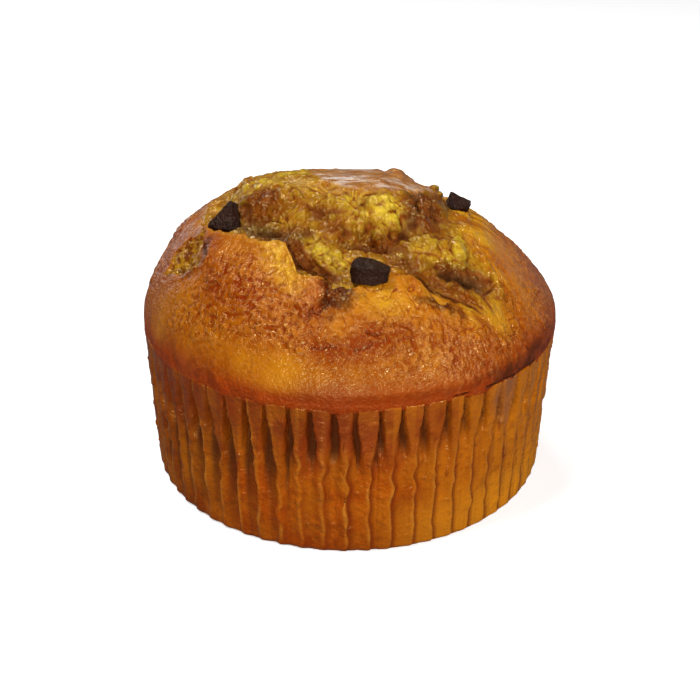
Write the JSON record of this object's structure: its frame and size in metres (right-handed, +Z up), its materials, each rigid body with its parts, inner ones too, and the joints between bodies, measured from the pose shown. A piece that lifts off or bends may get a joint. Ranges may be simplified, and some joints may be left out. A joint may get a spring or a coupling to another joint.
{
  "type": "muffin in a paper case",
  "caption": "Baked muffin with a torn, domed crust and chocolate chunks, standing in its pleated paper case.",
  "frame": {"origin": "centre of the paper case's flat base, on the surface it stands on", "axes": "+Z up through the crown, -Y towards the front with the deepest tear, +X to the right seen from the front"},
  "size_m": [0.0771, 0.0772, 0.0544],
  "materials": {
    "cake": "glossy orange-brown crust with torn yellow crumb",
    "paper": "oil-soaked greaseproof paper, amber brown with a soft sheen",
    "chocolate": "dark chocolate, broken faces, faint sheen"
  },
  "bodies": {
    "root": {"cake": "cake", "paper_case": "paper", "chocolate_chunk_left": "chocolate", "chocolate_chunk_right": "chocolate", "chocolate_chunk_front": "chocolate"}
  },
  "joints": []
}
